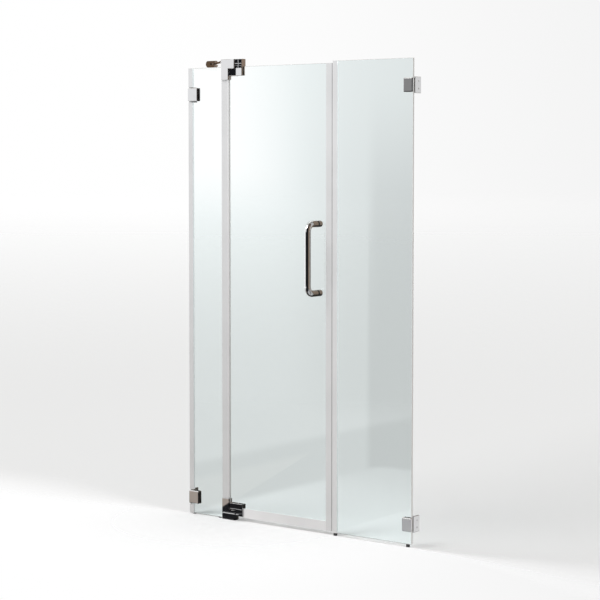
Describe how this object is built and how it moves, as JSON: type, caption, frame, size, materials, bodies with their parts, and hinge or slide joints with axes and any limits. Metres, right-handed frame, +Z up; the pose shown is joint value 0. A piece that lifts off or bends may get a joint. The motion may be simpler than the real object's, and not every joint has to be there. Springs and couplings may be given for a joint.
{
  "type": "frameless shower door",
  "caption": "Frameless glass shower door on offset pivot hinges between two fixed glass panels, with wall clamps, a corner brace, a tubular pull and magnetic seals.",
  "frame": {"origin": "the point on the threshold below the door's pivot axis, in the middle of the glass thickness", "axes": "+X along the glass to the right as seen from outside, +Y into the shower, +Z up"},
  "size_m": [1.098, 0.205, 1.8675],
  "materials": {
    "clear_glass": "clear tempered glass, 10 mm, ground edges with a pale tint",
    "polished_chrome": "polished chrome plate on brass",
    "stainless_steel": "turned stainless steel",
    "white_nylon": "natural nylon",
    "dark_rubber": "dull black rubber",
    "pale_vinyl": "frosted pale vinyl, slightly glossy",
    "magnet_strip": "flexible bonded magnet strip"
  },
  "bodies": {
    "fixed_side": {"left_fixed_panel": "clear_glass", "right_fixed_panel": "clear_glass", "left_top_clamp_body": "polished_chrome", "left_bottom_clamp_body": "polished_chrome", "right_top_clamp_body": "polished_chrome", "right_bottom_clamp_body": "polished_chrome", "left_top_clamp_cover": "polished_chrome", "left_bottom_clamp_cover": "polished_chrome", "right_top_clamp_cover": "polished_chrome", "right_bottom_clamp_cover": "polished_chrome", "wall_clamp_gaskets": "dark_rubber", "wall_clamp_screws": "stainless_steel", "wall_clamp_sleeves": "white_nylon", "top_bracket_body": "polished_chrome", "top_bracket_back_plate": "polished_chrome", "bottom_bracket_body": "polished_chrome", "bottom_bracket_back_plate": "polished_chrome", "bracket_gaskets": "dark_rubber", "bracket_screws": "stainless_steel", "bracket_sleeves": "white_nylon", "top_pivot_pin": "stainless_steel", "bottom_pivot_pin": "stainless_steel", "pivot_grub_screws": "stainless_steel", "bottom_bracket_pad": "dark_rubber", "brace_wall_socket": "polished_chrome", "brace_grub_screw": "stainless_steel", "brace_rod": "polished_chrome", "brace_swivel_pin": "stainless_steel", "brace_knuckle": "polished_chrome", "left_wall_channel": "pale_vinyl", "hinge_side_seal": "pale_vinyl", "strike_profile": "pale_vinyl", "strike_magnet": "magnet_strip", "left_setting_blocks": "dark_rubber", "right_setting_blocks": "dark_rubber"},
    "door": {"door_panel": "clear_glass", "top_door_clamp_body": "polished_chrome", "top_door_clamp_back_plate": "polished_chrome", "bottom_door_clamp_body": "polished_chrome", "bottom_door_clamp_back_plate": "polished_chrome", "door_clamp_gaskets": "dark_rubber", "door_clamp_screws": "stainless_steel", "door_clamp_sleeves": "white_nylon", "top_pivot_bush": "white_nylon", "bottom_pivot_bush": "white_nylon", "handle_tube": "polished_chrome", "handle_inserts": "stainless_steel", "handle_bolts": "stainless_steel", "handle_sleeves": "white_nylon", "handle_washers": "dark_rubber", "handle_inner_caps": "polished_chrome", "door_edge_seal": "pale_vinyl", "door_edge_magnet": "magnet_strip", "bottom_sweep": "pale_vinyl"}
  },
  "joints": [
    {"name": "door_swing", "type": "hinge", "parent": "fixed_side", "child": "door", "pos_m": [0, 0, 0], "axis": [0, 0, -1], "range_deg": [0, 90]}
  ]
}
